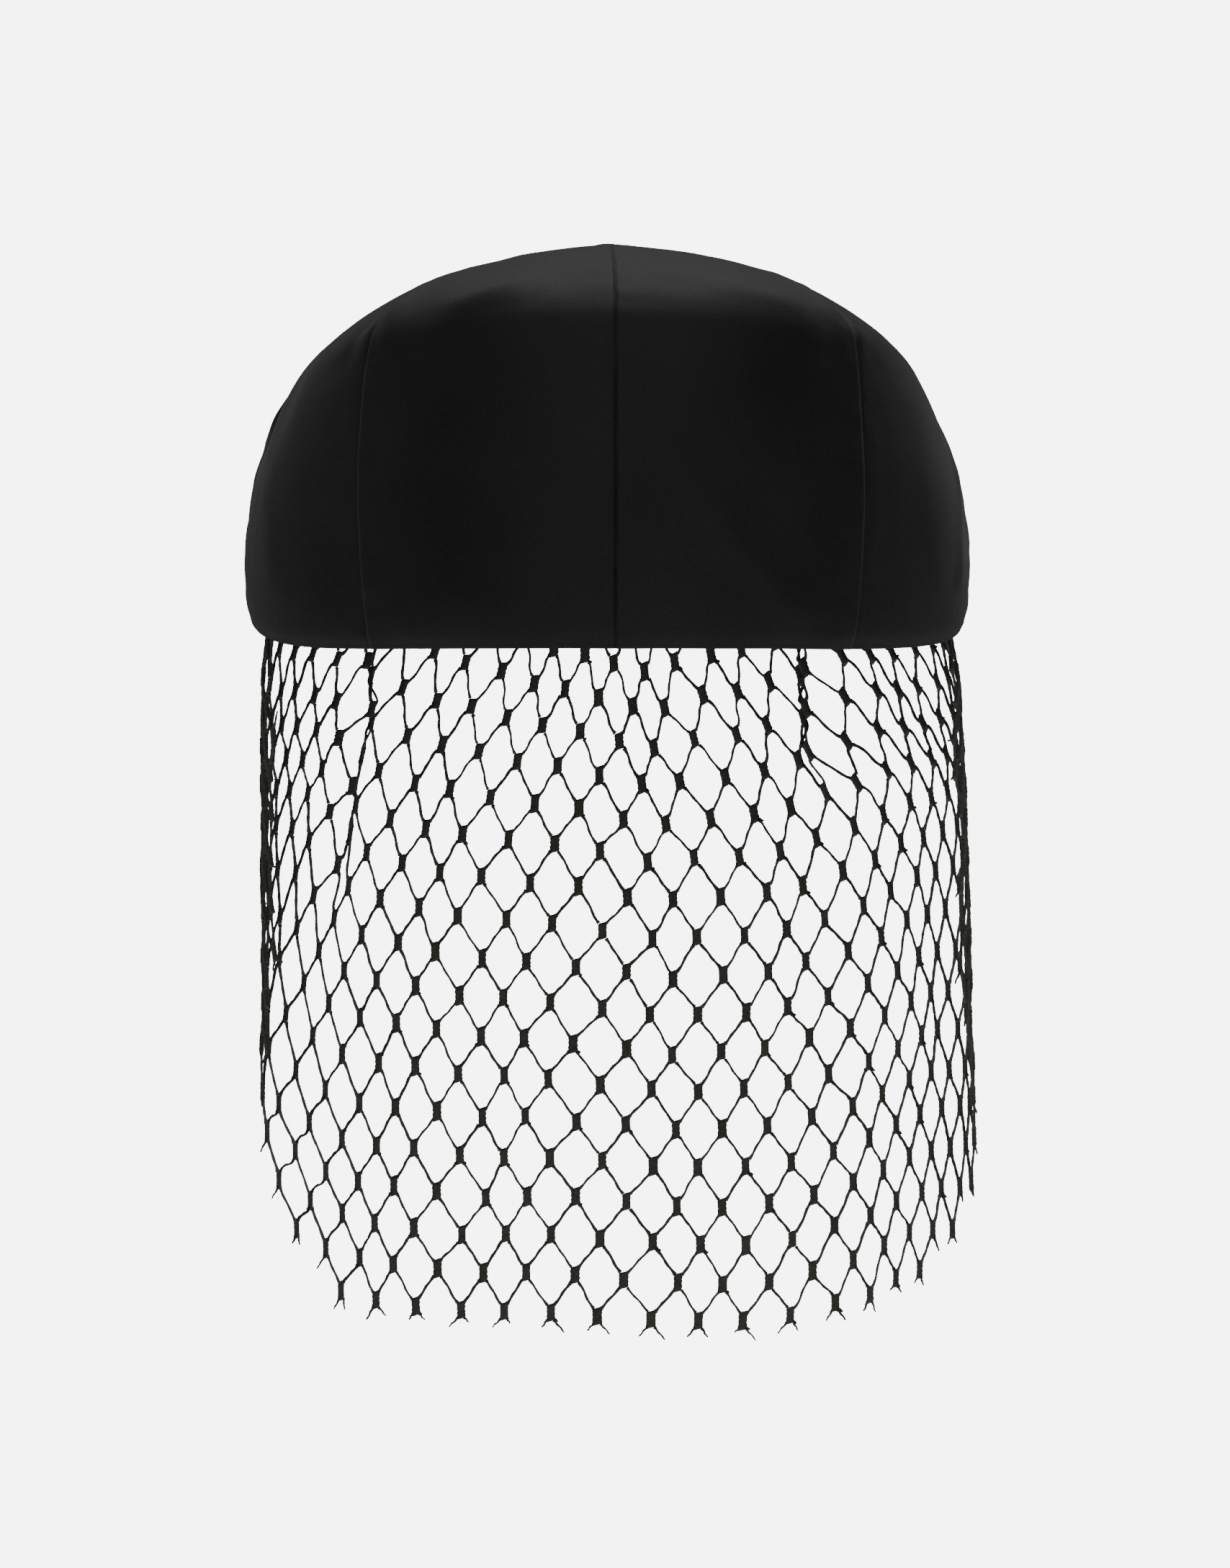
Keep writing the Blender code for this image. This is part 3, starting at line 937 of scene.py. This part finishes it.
@dataclass(frozen=True)
class Satin(Finish):
    """Black satin: a close weave, a soft sheen, wear and a painted highlight along the proud seams, and
    painted shade in the seam grooves near the crest.
    """

    slot: Slot = Slot.SATIN
    colour: tuple[float, float, float] = (0.0200, 0.0200, 0.0202)
    roughness: float = 0.54

    def make(self, shader: Shader) -> bpy.types.Material:
        """Build the satin's nodes."""
        uv = shader.node("ShaderNodeUVMap", {"uv_map": "cloth"}, {}).outputs[0]
        place = shader.node("ShaderNodeTexCoord", {}, {}).outputs["Object"]
        threads = shader.noise(shader.stretched(uv, (1.0, 0.14, 1.0)), 5200.0, 1.0)
        grain = shader.noise(uv, 1700.0, 2.0, 0.6)
        crush = shader.noise(place, 55.0, 3.0, 0.55)
        patch = shader.noise(place, 21.0, 2.0)
        seam = shader.attribute("seam")
        # Lighter along proud seam edges, as wear and a painted highlight, and along the peak's stitch rows.
        seam_wear_and_highlight = shader.remap(seam, 0.0003, 0.0016, 1.0, 0.0)
        dark = (*(0.72 * share for share in self.colour), 1.0)
        light = (*(1.35 * share for share in self.colour), 1.0)
        # The colour of the lighter seam line: wear and a painted highlight.
        edge = (*(2.4 * share for share in self.colour), 1.0)
        mottle = shader.remap(grain * 0.7 + threads * 0.5 + patch, 0.85, 1.35, 0.0, 1.0)
        body = shader.blend(mottle, dark, light)
        # Painted shade: the seam's valley near the crest is darkened, standing in for the shadow in its fold.
        groove = shader.attribute("groove")
        painted_groove_shade = (*(0.12 * share for share in self.colour), 1.0)
        body = shader.blend(seam_wear_and_highlight * 0.6, body, edge)
        body = shader.blend(shader.remap(groove, 0.25, 0.75, 0.0, 1.0), body, painted_groove_shade)
        shader.feed(shader.surface.inputs["Base Color"], body)
        smooth, matt = self.roughness - 0.05, self.roughness + 0.06
        gloss = shader.remap(patch * 0.6 + grain * 0.4, 0.3, 0.7, smooth, matt)
        shader.feed(shader.surface.inputs["Roughness"], gloss)
        shader.bump(threads * 0.6 + grain * 0.45 + crush * 0.5, 0.00015, 0.6)
        shader.surface.inputs["Specular IOR Level"].default_value = 0.30
        shader.surface.inputs["Sheen Weight"].default_value = 0.12
        shader.surface.inputs["Sheen Roughness"].default_value = 0.45
        return shader.material


@dataclass(frozen=True)
class Cotton(Finish):
    """Matt black net yarn, wound and a little fuzzy."""

    slot: Slot = Slot.NET
    colour: tuple[float, float, float] = (0.0750, 0.0730, 0.0620)
    roughness: float = 0.78

    def make(self, shader: Shader) -> bpy.types.Material:
        """Build the yarn's nodes."""
        place = shader.node("ShaderNodeTexCoord", {}, {}).outputs["Object"]
        twist = shader.noise(shader.stretched(place, (1.0, 1.0, 2.2)), 1500.0, 2.0, 0.6)
        patch = shader.noise(place, 190.0, 2.0)
        dark = (*(0.6 * share for share in self.colour), 1.0)
        light = (*(1.7 * share for share in self.colour), 1.0)
        body = shader.blend(shader.remap(twist * 0.7 + patch * 0.3, 0.32, 0.68, 0.0, 1.0), dark, light)
        shader.feed(shader.surface.inputs["Base Color"], body)
        shader.feed(shader.surface.inputs["Roughness"], shader.remap(twist, 0.3, 0.7, 0.68, 0.88))
        shader.bump(twist, 0.00025, 0.8)
        shader.surface.inputs["Specular IOR Level"].default_value = 0.30
        shader.surface.inputs["Sheen Weight"].default_value = 0.10
        return shader.material


@dataclass(frozen=True)
class Studio:
    """The pale floor, the soft lights and the camera behind the cap."""

    distance: float = 2.2
    swing: float = 1.2
    aim_height: float = -0.0324
    aim_shift: float = 0.0019
    lens: float = 201.5
    sensor: float = 36.0
    floor_height: float = -0.30
    floor_radius: float = 0.70
    floor_glow: float = 0.34
    backdrop: float = 6.5
    fill: float = 0.05

    def place_camera(self) -> None:
        """Set the camera level with the net's top, a little to one side of straight behind."""
        turn = math.radians(self.swing)
        ahead = Vector((math.sin(turn), math.cos(turn), 0.0))
        right = Vector((math.cos(turn), -math.sin(turn), 0.0))
        camera = bpy.data.objects.new("camera", bpy.data.cameras.new("camera"))
        camera.data.lens, camera.data.sensor_width = self.lens, self.sensor
        camera.data.clip_start = 0.1
        camera.location = right * self.aim_shift - ahead * self.distance + Vector((0.0, 0.0, self.aim_height))
        camera.rotation_mode = "QUATERNION"
        camera.rotation_quaternion = ahead.to_track_quat("-Z", "Y")
        bpy.context.scene.collection.objects.link(camera)
        bpy.context.scene.camera = camera

    def lay_floor(self) -> None:
        """A round pale floor well below the net."""
        bm = bmesh.new()
        bmesh.ops.create_circle(bm, cap_ends=True, segments=96, radius=self.floor_radius)
        bmesh.ops.translate(bm, verts=list(bm.verts), vec=(0.0, 0.0, self.floor_height))
        mesh = bpy.data.meshes.new("floor")
        bm.to_mesh(mesh)
        bm.free()
        shader = Shader("floor")
        place = shader.node("ShaderNodeTexCoord", {}, {}).outputs["Object"]
        shade = shader.remap(shader.noise(place, 40.0), 0.3, 0.7, 0.0, 1.0)
        shader.feed(
            shader.surface.inputs["Base Color"],
            shader.blend(shade, (0.84, 0.84, 0.84, 1.0), (0.86, 0.86, 0.86, 1.0)),
        )
        shader.surface.inputs["Roughness"].default_value = 0.7
        shader.surface.inputs["Emission Color"].default_value = (1.0, 1.0, 1.0, 1.0)
        shader.surface.inputs["Emission Strength"].default_value = self.floor_glow
        mesh.materials.append(shader.material)
        floor = bpy.data.objects.new("floor", mesh)
        bpy.context.scene.collection.objects.link(floor)

    def light_world(self) -> None:
        """A pale backdrop for the camera, which lights the cap only dimly."""
        world = bpy.data.worlds.new("studio")
        world.use_nodes = True
        nodes, links = world.node_tree.nodes, world.node_tree.links
        seen = nodes["Background"]
        dim = nodes.new("ShaderNodeBackground")
        seen.inputs["Color"].default_value = (self.backdrop,) * 3 + (1.0,)
        dim.inputs["Color"].default_value = (self.fill,) * 3 + (1.0,)
        ray = nodes.new("ShaderNodeLightPath")
        mix = nodes.new("ShaderNodeMixShader")
        links.new(ray.outputs["Is Camera Ray"], mix.inputs[0])
        links.new(dim.outputs[0], mix.inputs[1])
        links.new(seen.outputs[0], mix.inputs[2])
        links.new(mix.outputs[0], nodes["World Output"].inputs["Surface"])
        bpy.context.scene.world = world

    @staticmethod
    def add_light(name: str, spot: Vector, aim: Vector, size: tuple[float, float], power: float) -> None:
        """A soft area light at a spot, aimed at a point."""
        data = bpy.data.lights.new(name, "AREA")
        data.shape, data.size, data.size_y, data.energy = "RECTANGLE", size[0], size[1], power
        light = bpy.data.objects.new(name, data)
        light.location = spot
        light.rotation_mode = "QUATERNION"
        light.rotation_quaternion = (aim - spot).to_track_quat("-Z", "Y")
        bpy.context.scene.collection.objects.link(light)

    def build(self) -> None:
        """Set the whole studio."""
        self.place_camera()
        self.lay_floor()
        self.light_world()
        middle = Vector((0.0, 0.0, 0.02))
        self.add_light("back", Vector((0.05, 0.75, 1.20)), middle, (1.7, 0.9), 2.8)
        self.add_light("overhead", Vector((0.15, -0.10, 1.45)), middle, (1.2, 0.5), 6.5)
        self.add_light("left", Vector((-1.1, 0.2, 0.9)), middle, (0.4, 0.6), 0.5)
        self.add_light("right", Vector((1.3, 0.9, 0.5)), middle, (0.5, 1.0), 0.20)
        self.add_light("front", Vector((-0.05, -2.2, 0.5)), middle, (2.2, 2.0), 6.2)


def main() -> None:
    """Build the studio, the gores, the button, the peak and the net."""
    Studio().build()
    crown, satin, cotton = Crown(), Satin(), Cotton()
    highs = [*list(SEAMS.values())[1:], 360.0]
    for (name, low), high in zip(SEAMS.items(), highs):
        Gore(name, low, high, crown, lips=LIPS[name]).build(satin)
    Button(crown).build(satin)
    Peak(crown).build(satin)
    Net(crown).build(cotton)


if __name__ == "__main__":
    main()
